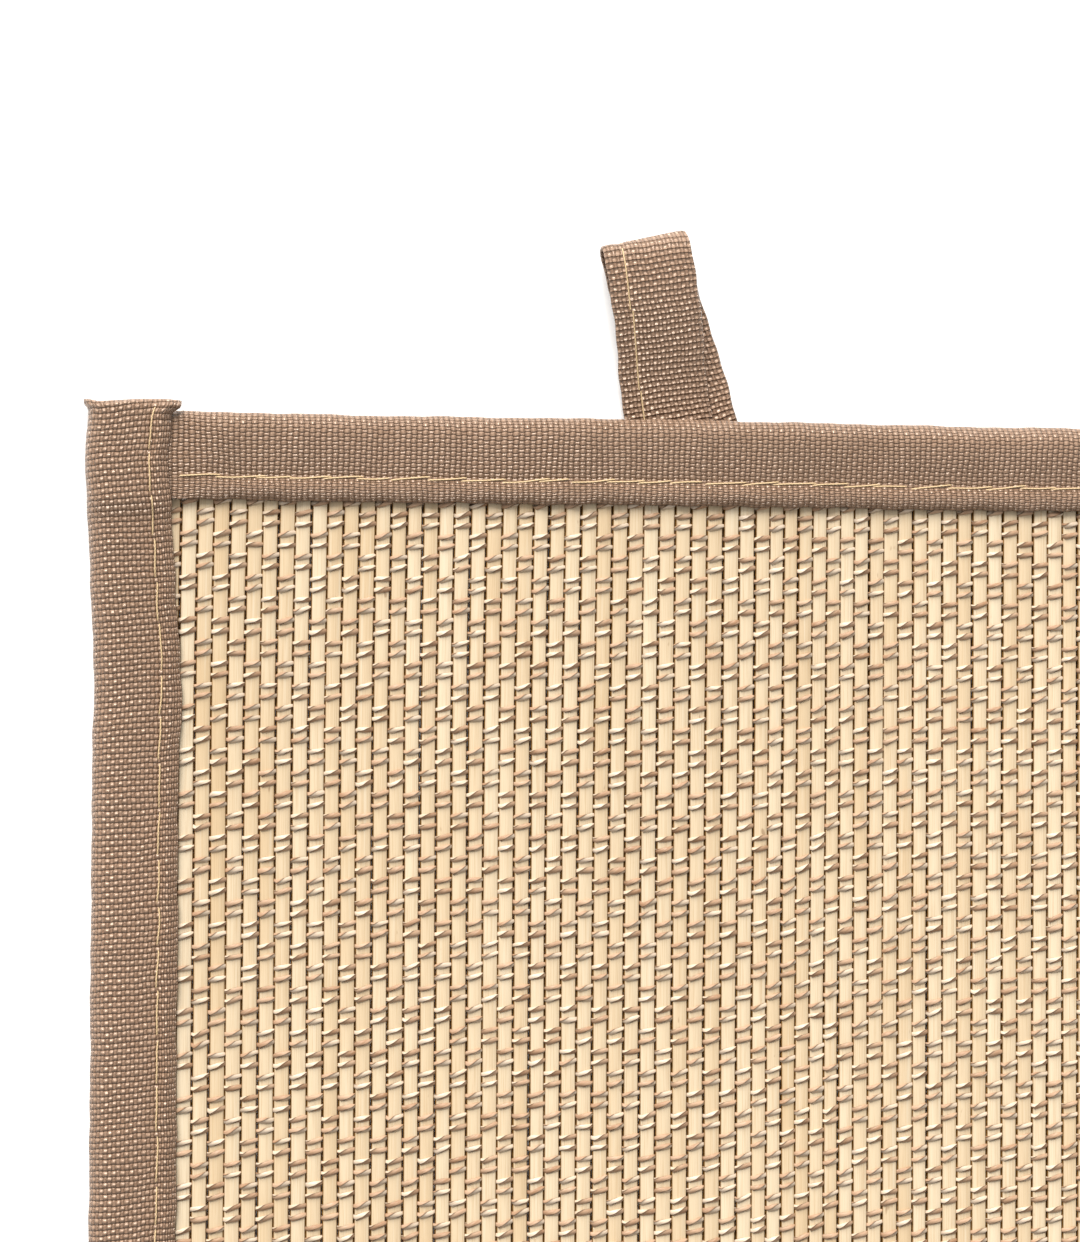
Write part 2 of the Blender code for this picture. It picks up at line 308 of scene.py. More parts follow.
def yarn_material():
    """Two-ply yarn: u counts turns along it, v goes once round. One ply is tan, the other cream."""
    n = Nodes("two_ply_yarn")
    turns, around = n.uv()
    twist = n.math("FRACT", n.math("ADD", turns, around))
    is_light = n.math("GREATER_THAN", twist, 0.54)
    tan_part = n.math("DIVIDE", twist, 0.54)
    light_part = n.math("DIVIDE", n.math("SUBTRACT", twist, 0.54), 0.46)
    part = n.math("ADD", n.math("MULTIPLY", tan_part, n.math("SUBTRACT", 1.0, is_light)),
                  n.math("MULTIPLY", light_part, is_light))
    off = n.math("SUBTRACT", n.math("MULTIPLY", part, 2.0), 1.0)
    round_ply = n.math("SQRT", n.math("MAXIMUM", n.math("SUBTRACT", 1.0, n.math("MULTIPLY", off, off)), 0.0))
    fibre_place = n.vector(n.math("MULTIPLY", twist, 16.0), n.math("MULTIPLY", turns, 3.0),
                           n.math("FLOOR", turns))
    fibre = n.noise(fibre_place, 1.0, 3.0, 0.6)
    drift = n.noise(n.vector(n.math("MULTIPLY", turns, 1.3), 0.5, 0.5), 1.0, 2.0)
    tan = n.mix(n.span(drift, 0.35, 0.65), (0.275, 0.150, 0.078), (0.40, 0.262, 0.165))
    tan = n.mix(n.span(fibre, 0.48, 0.70, 0.0, 0.65), tan, (0.46, 0.33, 0.235))
    light = n.mix(n.span(drift, 0.3, 0.7), (0.500, 0.395, 0.285), (0.530, 0.425, 0.325))
    light = n.mix(n.span(fibre, 0.46, 0.70, 0.0, 0.6), light, (0.40, 0.275, 0.18))
    colour = n.mix(is_light, tan, light)
    # Painted shade: the grooves between the two plies are darkened toward a deep brown.
    colour = n.mix(n.span(round_ply, 0.15, 0.70, 0.95, 0.0), colour, (0.085, 0.036, 0.008))
    n.put(n.shader.inputs["Base Color"], colour)
    n.put(n.shader.inputs["Roughness"], n.span(is_light, 0.0, 1.0, 0.6, 0.42))
    n.shader.inputs["Specular IOR Level"].default_value = 0.4
    n.bump(n.math("ADD", round_ply, n.math("MULTIPLY", fibre, 0.22)), 0.30 * MM)
    return n.material


def cloth_material(name):
    """Plain-woven cloth. u runs along the tape and v across it, in metres.

    The threads that lie across the tape are the thicker ones."""
    n = Nodes(name)
    u, v = n.uv()
    wander = n.noise(n.vector(n.math("MULTIPLY", u, 70.0), n.math("MULTIPLY", v, 70.0)), 1.0, 1.0)
    ragged = n.noise(n.vector(n.math("MULTIPLY", u, 420.0), n.math("MULTIPLY", v, 420.0), 3.0), 1.0, 1.0)
    shift = n.math("ADD", n.math("MULTIPLY", n.math("SUBTRACT", wander, 0.5), 0.9),
                   n.math("MULTIPLY", n.math("SUBTRACT", ragged, 0.5), 0.34))
    a = n.math("ADD", n.math("DIVIDE", u, CROSS_THREAD_PITCH), shift)
    b = n.math("ADD", n.math("DIVIDE", v, LONG_THREAD_PITCH), n.math("MULTIPLY", shift, 0.8))
    a_cell, b_cell = n.math("FLOOR", a), n.math("FLOOR", b)

    def ridge(position, width):
        away = n.math("DIVIDE", n.math("SUBTRACT", n.math("FRACT", position), 0.5), width / 2)
        return n.math("MAXIMUM", n.math("SUBTRACT", 1.0, n.math("MULTIPLY", away, away)), 0.0)

    def wave(position, cell):
        turn = n.math("MULTIPLY", n.math("ADD", n.math("SUBTRACT", position, 0.5), cell), math.pi)
        flat = n.math("MULTIPLY", n.math("COSINE", turn), FLOAT_FLATNESS)
        return n.math("MAXIMUM", n.math("MINIMUM", flat, 1.0), -1.0)

    # Heights of both threads, in millimetres
    cross = n.math("ADD", n.math("MULTIPLY", ridge(a, 1.0), 0.36), n.math("MULTIPLY", wave(b, a_cell), 0.16))
    length = n.math("SUBTRACT", n.math("MULTIPLY", ridge(b, 0.90), 0.20),
                    n.math("MULTIPLY", wave(a, b_cell), 0.20))
    length = n.math("SUBTRACT", length, 0.03)
    height = n.math("MAXIMUM", cross, length)
    on_cross = n.math("GREATER_THAN", cross, length)
    thread = n.random(n.math("ADD", n.math("MULTIPLY", a_cell, 7.31), n.math("MULTIPLY", b_cell, 3.77)))
    fine_cross = n.noise(n.vector(n.math("MULTIPLY", a, 8.0), n.math("MULTIPLY", b, 1.2)), 1.0, 2.0)
    fine_long = n.noise(n.vector(n.math("MULTIPLY", a, 1.2), n.math("MULTIPLY", b, 7.0), 4.0), 1.0, 2.0)
    fine = n.math("ADD", n.math("MULTIPLY", fine_cross, on_cross),
                  n.math("MULTIPLY", fine_long, n.math("SUBTRACT", 1.0, on_cross)))
    low = n.noise(n.vector(n.math("MULTIPLY", u, 14.0), n.math("MULTIPLY", v, 40.0), 1.0), 1.0, 3.0)
    # Painted shade: the lower threads along the tape are coloured darker than the cross threads, for the
    # shade they lie in beneath them.
    colour = n.mix(on_cross, (0.175, 0.096, 0.056), (0.262, 0.160, 0.102))
    colour = n.mix(n.span(thread, 0.0, 1.0, 0.0, 0.30), colour, (0.34, 0.225, 0.155))
    colour = n.mix(n.span(low, 0.35, 0.65, 0.0, 0.35), colour, (0.165, 0.096, 0.055))
    colour = n.mix(n.span(fine, 0.45, 0.70, 0.0, 0.40), colour, (0.40, 0.275, 0.195))
    # Painted shade: the valleys between threads darken toward a deep brown by height; the specular strength
    # follows the same share of height.
    top = n.span(height, -0.02, 0.20)
    colour = n.mix(top, (0.075, 0.034, 0.015), colour)
    n.put(n.shader.inputs["Base Color"], colour)
    n.put(n.shader.inputs["Roughness"], n.span(fine, 0.3, 0.7, 0.24, 0.38))
    n.put(n.shader.inputs["Specular IOR Level"], n.math("MULTIPLY", top, 0.9))
    n.shader.inputs["Specular Tint"].default_value = (1.0, 0.86, 0.74, 1.0)
    n.bump(n.math("ADD", height, n.math("MULTIPLY", fine, 0.05)), CLOTH_RELIEF)
    return n.material


def thread_material():
    """Golden sewing thread with a fine twist."""
    n = Nodes("sewing_thread")
    u, v = n.uv()
    twist = n.math("FRACT", n.math("ADD", n.math("DIVIDE", u, 0.9 * MM), n.math("MULTIPLY", v, 2.0)))
    ridge = n.math("SINE", n.math("MULTIPLY", twist, math.pi))
    # Painted shade: the grooves of the twist darken from gold toward brown.
    colour = n.mix(n.span(ridge, 0.0, 0.8), (0.34, 0.225, 0.110), (0.60, 0.44, 0.25))
    n.put(n.shader.inputs["Base Color"], colour)
    n.put(n.shader.inputs["Roughness"], n.span(ridge, 0.0, 1.0, 0.7, 0.45))
    n.bump(ridge, 0.05 * MM)
    return n.material


# Slats and yarns


def slat_place(index):
    """Middle of a slat in x, crowded and spread as the drift table says."""
    nominal = (index - (SLAT_COUNT - 1) / 2) * SLAT_PITCH
    return nominal + lookup(SLAT_DRIFT, nominal + HALF_WIDTH)


slat_index = np.arange(SLAT_COUNT)
slat_x = slat_place(slat_index)
slat_room = np.gradient(slat_x)
slat_width = slat_room * SLAT_SHARE + rng.normal(0.0, 0.07 * MM, SLAT_COUNT)


def slat_lean(x, y):
    """The slats near the left end of the top tape lean to the right."""
    depth = HALF_LENGTH - y
    return 0.012 * np.maximum(70 * MM - depth, 0.0) * falling(x + HALF_WIDTH, 90 * MM, 160 * MM)


def make_slats(material):
    """All slats: flat strips with worn edges, each a little crooked."""
    stations = np.concatenate([np.linspace(-1, -0.25, 7), np.linspace(-0.15, 0.15, 3),
                               np.linspace(0.25, 1, 7)])
    y = stations * (HALF_LENGTH - SLAT_END_INSET)
    half, edge = SLAT_THICKNESS / 2, 0.14 * MM
    # The sides lean out below the face, so that neighbours almost meet
    section = ((-1, 0, half - edge), (-1, edge, half), (1, -edge, half), (1, 0, half - edge),
               (1, SLAT_FOOT, -0.1 * half), (1, SLAT_FOOT, -half), (-1, -SLAT_FOOT, -half),
               (-1, -SLAT_FOOT, -0.1 * half))
    verts, quads, uvs = [], [], []
    sides = len(section)
    for index, (x, width) in enumerate(zip(slat_x, slat_width)):
        bow = 0.10 * MM * np.sin(y / (60 * MM) + rng.uniform(0, 6)) + rng.normal(0, 0.03 * MM, len(y))
        swell = rng.normal(0, 0.04 * MM, len(y))
        tilt = rng.normal(0, 0.02)
        ring = np.zeros((len(y), sides, 3))
        across = np.zeros((len(y), sides))
        for j, (side, inward, height) in enumerate(section):
            offset = side * (width + swell) / 2 + inward
            ring[:, j, 0] = x + bow + offset + slat_lean(x, y)
            ring[:, j, 1] = y
            ring[:, j, 2] = PANEL_MIDDLE + rise(x, y) + height + tilt * offset
            face = (width + swell) / 2
            # Sides below the face map near the slat's edge, where the bamboo material paints them dark brown
            # as gap shade.
            below_face = height < half - edge
            across[:, j] = index + 0.5 + 0.40 * np.clip(offset / face, -1, 1) + 0.08 * side * below_face
        start = index * len(y) * sides
        faces = tube_quads(len(y), sides, start)
        verts.append(ring.reshape(-1, 3))
        quads.append(faces)
        flat_across = across.ravel()
        flat_along = np.repeat(y, sides)
        local = faces - start
        uvs.append(np.stack([flat_across[local], flat_along[local]], -1))
        first, last = start, start + (len(y) - 1) * sides
        caps = np.array([[0, 1, 2, 3], [0, 3, 4, 7], [7, 4, 5, 6]])
        quads.append(caps + first)
        quads.append(caps[:, ::-1] + last)
        for end in (0, (len(y) - 1) * sides):
            local = caps + end if end == 0 else caps[:, ::-1] + end
            uvs.append(np.stack([flat_across[local], flat_along[local]], -1))
    return build_mesh("bamboo_slats", np.concatenate(verts), np.concatenate(quads),
                      np.concatenate([block.reshape(-1, 2) for block in uvs]), material)


def row_wave(x, row):
    """How far the rows of yarn wander along the slats across the mat.

    Lower rows dip more beside the loop."""
    from_left, depth = x + HALF_WIDTH, HALF_LENGTH - row
    gentle = 0.25 * np.sin(from_left / 31 / MM + 2.2) + 0.35 * np.sin(from_left / 83 / MM + 0.4)
    beside_loop = np.exp(-((from_left - 152 * MM) / (40 * MM)) ** 2)
    dip = 1.3 * beside_loop * (1 - falling(depth, 30 * MM, 120 * MM))
    return (gentle - dip) * MM


def make_yarns(name, first, last, material):
    """Yarns numbered first to last, from the top edge: over one slat and under the next, in pairs."""
    inside = np.abs(slat_x) < HALF_WIDTH - SIDE_TAPE_WIDTH + UNDER_TAPE
    chosen = slat_index[inside]
    sides = 5
    k = np.arange(first, last)
    count, slats = len(k), len(chosen)
    over = np.where((chosen[None, :] + (k[:, None] + 1) // 2) % 2 == 1, 1.0, -1.0)
    x_slat, half = slat_x[chosen], slat_width[chosen] / 2
    gap_after = (slat_x[chosen] + slat_x[np.minimum(chosen + 1, SLAT_COUNT - 1)]) / 2
    reach = half - 0.22 * MM
    ring_x = np.stack([x_slat - reach, x_slat, x_slat + reach, gap_after], -1)
    slant = YARN_SLANT + rng.normal(0, 0.10 * MM, (count, slats))
    jitter = rng.normal(0, 0.07 * MM, (count, slats))
    top = SLAT_THICKNESS / 2 + YARN_HALF_HEIGHT - 0.10 * MM
    lift = top + rng.normal(0, 0.03 * MM, (count, slats))
    ring_y = np.stack([-over * slant + jitter, jitter, over * slant + jitter,
                       over * slant + jitter * 0.5], -1)
    ring_z = np.stack([over * (lift - 0.05 * MM), over * lift, over * (lift - 0.05 * MM), over * 0.0], -1)
    ends = over * np.roll(over, -1, axis=1)
    ring_z[:, :, 3] = np.where(ends > 0, over * lift, 0.0)
    rings = slats * 4
    x = np.broadcast_to(ring_x.reshape(1, -1), (count, rings))
    row = HALF_LENGTH - FIRST_YARN - k * YARN_PITCH
    y = row[:, None] + ring_y.reshape(count, -1) + row_wave(x, row[:, None])
    x = x + slat_lean(x, y)
    z = ring_z.reshape(count, -1) + PANEL_MIDDLE + rise(x, y)
    dx, dz = np.gradient(x, axis=1), np.gradient(z, axis=1)
    size = np.hypot(dx, dz)
    tx, tz = dx / size, dz / size
    thick = np.tile([1.0, 1.03, 1.0, 0.86], slats)[None, :] * (1 + rng.normal(0, 0.06, (count, rings)))
    half_y = YARN_HALF_WIDTH * thick * (1 + rng.normal(0, 0.05, (count, 1)))
    half_z = YARN_HALF_HEIGHT * np.tile([1.0, 1.0, 1.0, 0.95], slats)[None, :]
    angle = 2 * math.pi * (np.arange(sides) + 0.5) / sides
    c, s = np.cos(angle), np.sin(angle)
    verts = np.empty((count, rings, sides, 3))
    verts[..., 0] = x[..., None] - tz[..., None] * half_z[..., None] * s
    verts[..., 1] = y[..., None] + half_y[..., None] * c
    verts[..., 2] = z[..., None] + tx[..., None] * half_z[..., None] * s
    under = np.repeat(over < 0, 4, axis=1)
    walk = np.cumsum(rng.normal(0, 0.015, (count, rings)) + under * rng.normal(0, 0.13, (count, rings)),
                     axis=1)
    turns = x / YARN_TWIST + walk + rng.uniform(0, 50, (count, 1))
    quads, uvs = [], []
    ring_faces = tube_quads(rings, sides)
    before = np.repeat(np.arange(rings - 1), sides)
    side = np.tile(np.arange(sides), rings - 1)
    around = np.stack([side, side, side + 1, side + 1], -1) / sides
    for index in range(count):
        quads.append(ring_faces + index * rings * sides)
        u = np.stack([turns[index, before], turns[index, before + 1], turns[index, before + 1],
                      turns[index, before]], -1)
        uvs.append(np.stack([u, around], -1).reshape(-1, 2))
    return build_mesh(name, verts, np.concatenate(quads), np.concatenate(uvs), material)


# Tapes


# A tape's face from its inner edge to the fold.
# Rows: where, mm from there toward the inner edge, mm of height
FLANGE = (("edge", 0.0, -0.85), ("edge", -0.25, -0.45), ("edge", -0.9, 0.10), ("edge", -1.9, 0.50),
          ("seam", 2.8, 0.70), ("seam", 1.6, 0.46), ("seam", 0.7, 0.02), ("seam", 0.1, -0.28),
          ("seam", -0.5, -0.16), ("seam", -1.4, 0.10), ("seam", -2.8, 0.32))
# Rows: inset from the fold in mm, share of the crest
CROWN = ((11.0, 0.50), (9.2, 0.72), (7.2, 0.90), (5.4, 1.0), (4.0, 0.97), (2.8, 0.80))


def fold_section(width, back_width, stitch, top, bottom, crest, flange):
    """Outer face of a tape, front flange to back, as arrays of inset from the fold and height."""
    inset, height = [], []
    for where, place, lift in FLANGE:
        inset.append((width if where == "edge" else stitch) + place * MM)
        height.append(top + lift * MM * (flange if where == "edge" or place > 0 else 1.0))
    for place, share in CROWN:
        inset.append(place * MM)
        height.append(top + share * crest)
    middle, reach = (top + bottom) / 2, (top - bottom) / 2
    for turn in (66, 46, 25, 5, -15, -35, -55, -75):
        angle = math.radians(turn)
        inset.append(2.4 * MM * (1 - math.cos(angle)))
        height.append(middle + (reach + (crest * 0.35 if turn > 0 else 0)) * math.sin(angle))
    for place in (2.9, 6.0, 11.0):
        inset.append(place * MM)
        height.append(bottom)
    inset += [stitch - 1.5 * MM, stitch, stitch + 1.5 * MM, back_width]
    height += [bottom, bottom + 0.15 * MM, bottom, bottom]
    return np.array(inset), np.array(height)


SEAM_COLUMN_FRONT, SEAM_COLUMN_BACK = 7, -3


def tape_uv(points, place, skew=0.0):
    """Cloth coordinates of a tape's grid: along it, and across it with the flange gathered."""
    across = run_lengths(points).mean(0)
    seam = across[SEAM_COLUMN_FRONT]
    across = np.where(across < seam, seam - (seam - across) * FLANGE_GATHER, across)
    along = place[:, None] + skew * across[None, :]
    return np.stack([along, np.broadcast_to(across, along.shape)], -1)


def outward_grid(points, uv):
    """The grid, turned over if need be so that its face looks up on the front."""
    along, across = points[2, 4] - points[1, 4], points[1, 5] - points[1, 4]
    if np.cross(across, along)[2] < 0:
        return points[::-1], uv[::-1]
    return points, uv


def cloth_sheet(name, points, uv, material):
    """A sheet through a grid of points, thickened inward, with the cloth's own coordinates."""
    rows, columns = points.shape[:2]
    quads = grid_quads(rows, columns)
    obj = build_mesh(name, points, quads, uv.reshape(-1, 2)[quads.ravel()], material)
    thicken = obj.modifiers.new("Cloth", "SOLIDIFY")
    thicken.thickness = CLOTH
    thicken.offset = -1.0
    return obj


def run_lengths(points):
    """Distance along each row of points."""
    steps = np.linalg.norm(np.diff(points, axis=-2), axis=-1)
    return np.concatenate([np.zeros((*steps.shape[:-1], 1)), np.cumsum(steps, axis=-1)], -1)


def ripple(place, seed, size):
    """A gentle unevenness along an edge, the same each run."""
    waves = np.random.default_rng(seed)
    total = np.zeros_like(place)
    for length in (9, 17, 31, 55):
        total += np.sin(place / (length * MM) * 2 * math.pi + waves.uniform(0, 7)) * waves.uniform(0.4, 1.0)
    return total * size / 2


def pucker(place, step, depth):
    """Dimples in the cloth where the needle went through."""
    return -depth * np.maximum(np.cos(place / step * 2 * math.pi), 0) ** 4


def end_tape_points(x, side, seed):
    """Outer face of an end tape at these x, as a grid: one row for each x."""
    covered = HALF_WIDTH - SIDE_TAPE_BACK_WIDTH - CLOTH_SOLID
    grid = []
    edge = ripple(x, seed, 0.20 * MM)
    inner = ripple(x, seed + 1, 0.30 * MM)
    seam = ripple(x, seed + 3, 0.18 * MM)
    puff = 0.85 + 0.55 * (1 - falling(x + HALF_WIDTH, 110 * MM, 240 * MM)) + ripple(x, seed + 2, 0.35)
    roll = 1 + ripple(x, seed + 4, 0.5)
    dimple = pucker(x, 9.0 * MM, 0.20 * MM)
    for place, out, into, sew, swell, curl, dip in zip(x, edge, inner, seam, puff, roll, dimple):
        open_cloth = float(falling(abs(place), covered - 7 * MM, covered))
        crest = CREST * swell * (0.2 + 0.8 * open_cloth)
        flange = curl * (0.25 + 0.75 * open_cloth)
        inset, height = fold_section(TAPE_WIDTH, TAPE_BACK_WIDTH, STITCH_INSET, TAPE_TOP, 0.0, crest, flange)
        shift = np.interp(inset, (0, STITCH_INSET, TAPE_WIDTH), (-out, sew, into))
        height = height + dip * np.exp(-((inset - STITCH_INSET) / (1.6 * MM)) ** 2)
        y = side * (HALF_LENGTH - inset - shift)
        grid.append(np.stack([np.full_like(y, place), y, height + rise(place, y)], -1))
    return np.array(grid)


def make_end_tape(name, side, seed, material):
    end = HALF_WIDTH - END_TAPE_INSET
    x = np.linspace(-end, end, 281)
    points = end_tape_points(x, side, seed)
    return cloth_sheet(name, *outward_grid(points, tape_uv(points, x)), material), points


def side_tape_top(x, y):
    """Height of a side tape's front flange: over the panel, and over the end tape at the corners."""
    from_end = HALF_LENGTH - np.abs(y)
    on_end = falling(from_end, TAPE_BACK_WIDTH, TAPE_BACK_WIDTH + 4 * MM)
    return TAPE_TOP + rise(x, y) + on_end * (LAYER + VALLEY)


# The turned-in end of a side tape. Rows: inset from the fold, how far that part sticks out at the end, in mm
END_EDGE = ((0, 0.25), (1.2, 0.05), (3, -0.45), (7, -0.15), (12, 0.35), (17, 0.45), (20, 0.15), (24, -0.35))
END_ROUNDING = 1.7 * MM
EAR_REACH, HOOD_REACH, HOOD_LIFT = 1.1 * MM, 2.9 * MM, 0.5 * MM


def side_tape_points(y, side, seed):
    """Outer face of a side tape at these y, as a grid: one row for each y. Its ends are turned in."""
    grid = []
    edge = ripple(y, seed, 0.18 * MM)
    inner = ripple(y, seed + 1, 0.30 * MM)
    seam = ripple(y, seed + 3, 0.22 * MM)
    puff = 1 + ripple(y, seed + 2, 0.30)
    roll = 1 + ripple(y, seed + 4, 0.45)
    dimple = pucker(y, 11.2 * MM, 0.20 * MM)
    for place, out, into, sew, swell, curl, dip in zip(y, edge, inner, seam, puff, roll, dimple):
        from_end = HALF_LENGTH - abs(place)
        to_end = from_end + END_OVERHANG
        loose = FLARE_LOOSE if side * place < 0 else FLARE_TIGHT
        outward = float(lookup(FLARE, from_end)) * loose
        top = float(side_tape_top(HALF_WIDTH - SIDE_TAPE_WIDTH / 2, place))
        inset, height = fold_section(SIDE_TAPE_WIDTH, SIDE_TAPE_BACK_WIDTH, SIDE_STITCH_INSET, top, 0.0,
                                     CREST * swell * 0.8, curl)
        front = np.clip(height / top, 0, 1)
        share = inset / SIDE_TAPE_WIDTH
        lean = outward * (1 + (FLARE_AT_INNER_EDGE - 1) * share)
        ear = EAR_REACH * loose * float(falling(to_end, 0.9 * MM, 2.7 * MM)) * np.clip(1 - share * 3, 0, 1)
        hood = float(falling(to_end, 1.5 * MM, 3.6 * MM)) * np.clip((share - 0.72) / 0.28, 0, 1) * front
        shift = np.interp(inset, (0, SIDE_STITCH_INSET, SIDE_TAPE_WIDTH), (-out, sew, into))
        x = side * (HALF_WIDTH - inset - shift + lean + ear - HOOD_REACH * hood)
        height = height + dip * np.exp(-((inset - SIDE_STITCH_INSET) / (1.6 * MM)) ** 2)
        bend = min(max(1 - to_end / END_ROUNDING, 0.0), 1.0)
        height = height * (1 - 0.30 * (1 - math.sqrt(1 - bend * bend)) * front)
        height = height + HOOD_LIFT * hood
        near_end = math.exp(-(to_end / (7 * MM)) ** 2)
        y_line = place + math.copysign(near_end, place) * lookup(END_EDGE, inset) * front
        grid.append(np.stack([x, y_line, height], -1))
    return np.array(grid)


def make_side_tape(name, side, seed, material):
    end = HALF_LENGTH + END_OVERHANG
    near = np.array([0.0, 0.15, 0.4, 0.8, 1.3, 2.0, 2.9]) * MM
    y = np.concatenate([near - end, np.linspace(-end + 4 * MM, end - 4 * MM, 187), (end - near)[::-1]])
    points = side_tape_points(y, side, seed)
    face = outward_grid(points, tape_uv(points, y, -side * SIDE_CLOTH_SKEW))
    return cloth_sheet(name, *face, material), points


# Loop


def smooth_route(rows, steps):
    """Points on a smooth curve through the strap's route: x, y, z and the lean of its cross line."""
    tip_x = LOOP_X - LOOP_REACH * math.tan(LOOP_LEAN)
    knots = []
    for leg, out, height in rows:
        if leg == "front":
            x, lean = LOOP_X - out * MM * math.tan(LOOP_LEAN), LOOP_LEAN
        elif leg == "back":
            x, lean = tip_x + (LOOP_REACH - out * MM) * math.tan(LOOP_BACK_LEAN), LOOP_BACK_LEAN
        else:
            x, lean = tip_x, LOOP_TIP_LEAN
        knots.append((x, HALF_LENGTH + out * MM, height * MM, lean))
    knots = np.array(knots)
    distance = run_lengths(knots[:, :3])
    padded = np.concatenate([[2 * knots[0] - knots[1]], knots, [2 * knots[-1] - knots[-2]]])
    result = []
    for place in np.linspace(0, distance[-1], steps):
        index = int(np.clip(np.searchsorted(distance, place, side="right") - 1, 0, len(knots) - 2))
        t = (place - distance[index]) / (distance[index + 1] - distance[index])
        p0, p1, p2, p3 = padded[index:index + 4]
        d1 = (distance[index + 1] - distance[index])
        before = distance[index] - distance[index - 1] if index > 0 else d1
        after = distance[index + 2] - distance[index + 1] if index + 2 < len(knots) else d1
        m1 = ((p1 - p0) / before + (p2 - p1) / d1) / 2 * d1
        m2 = ((p2 - p1) / d1 + (p3 - p2) / after) / 2 * d1
        result.append((2 * t ** 3 - 3 * t ** 2 + 1) * p1 + (t ** 3 - 2 * t ** 2 + t) * m1
                      + (3 * t ** 2 - 2 * t ** 3) * p2 + (t ** 3 - t ** 2) * m2)
    return np.array(result)


def make_loop(material):
    """The strap: cloth folded to the middle and sewn along one side, as a closed flat sleeve."""
    route = smooth_route(STRAP_ROUTE, 150)
    middle, lean = route[:, :3], route[:, 3]
    along = run_lengths(middle)
    tangent = np.gradient(middle, axis=0)
    tangent /= np.linalg.norm(tangent, axis=1)[:, None]
    across = np.stack([np.cos(lean), np.sin(lean), np.zeros_like(lean)], -1)
    normal = np.cross(across, tangent)
    normal /= np.linalg.norm(normal, axis=1)[:, None]
    half, t = STRAP_WIDTH / 2, 0.55 * MM
    seam = -half + 4.8 * MM
    outer = [(-half, 0.0), (-half + 0.2 * MM, t * 0.8), (-half + 0.8 * MM, t * 1.2),
             (-half + 2.4 * MM, t * 1.35), (seam - 1.0 * MM, t), (seam - 0.1 * MM, t * 0.75),
             (seam + 0.5 * MM, t * 0.9), (seam + 1.6 * MM, t * 1.2), (0.0, t * 1.3),
             (half - 3 * MM, t * 1.3), (half - 0.9 * MM, t * 1.1), (half - 0.2 * MM, t * 0.7),
             (half, 0.0)]
    inner = [(place, -height * 0.8) for place, height in outer[1:-1]][::-1]
    section = np.array(outer + inner)
    wobble = ripple(along, 91, 0.25 * MM)
    points = (middle[:, None, :] + across[:, None, :] * (section[None, :, 0, None] + wobble[:, None, None])
              + normal[:, None, :] * section[None, :, 1, None])
    sides = len(section)
    quads = tube_quads(len(route), sides)
    round_it = np.concatenate([[0], np.cumsum(np.linalg.norm(np.diff(section, axis=0), axis=1))])
    total = round_it[-1] + np.linalg.norm(section[0] - section[-1])
    round_it = np.append(round_it, total)
    ring = np.repeat(np.arange(len(route) - 1), sides)
    side = np.tile(np.arange(sides), len(route) - 1)
    u = np.stack([along[ring], along[ring + 1], along[ring + 1], along[ring]], -1)
    v = np.stack([round_it[side], round_it[side], round_it[side + 1], round_it[side + 1]], -1)
    body = np.stack([u, v], -1).reshape(-1, 2)
    last = (len(route) - 1) * sides
    start_caps = []
    for j in range(len(outer) - 1):
        corners = (j, j + 1, (sides - j - 1) % sides, (sides - j) % sides)
        if len(set(corners)) == 4:
            start_caps.append(corners)
    start_caps = np.array(start_caps)
    end_caps = start_caps[:, ::-1] + last
    cap_uv = np.zeros(((len(start_caps) + len(end_caps)) * 4, 2))
    obj = build_mesh("loop_strap", points, np.concatenate([quads, start_caps, end_caps]),
                     np.concatenate([body, cap_uv]), material)
    return obj, middle, across, normal, along, seam, t


# Sewing


def thread_tubes(name, paths, material, radius=0.20 * MM, sides=6):
    """Tubes along open paths, all in one mesh."""
    verts, quads, uvs = [], [], []
    start = 0
    for path in paths:
        path = np.asarray(path)
        tangent = np.gradient(path, axis=0)
        tangent /= np.linalg.norm(tangent, axis=1)[:, None]
        flat = np.cross(tangent, (0, 0, 1.0))
        flat /= np.maximum(np.linalg.norm(flat, axis=1)[:, None], 1e-9)
        up = np.cross(flat, tangent)
        angle = 2 * math.pi * np.arange(sides) / sides
        ring = (path[:, None] + radius * (flat[:, None] * np.cos(angle)[None, :, None]
                                          + up[:, None] * np.sin(angle)[None, :, None]))
        along = run_lengths(path)
        rings = len(path)
        index = np.repeat(np.arange(rings - 1), sides)
        side = np.tile(np.arange(sides), rings - 1)
        u = np.stack([along[index], along[index + 1], along[index + 1], along[index]], -1)
        v = np.stack([side, side, side + 1, side + 1], -1) / sides
        verts.append(ring.reshape(-1, 3))
        quads.append(tube_quads(rings, sides, start))
        uvs.append(np.stack([u, v], -1).reshape(-1, 2))
        start += rings * sides
    return build_mesh(name, np.concatenate(verts), np.concatenate(quads), np.concatenate(uvs), material)


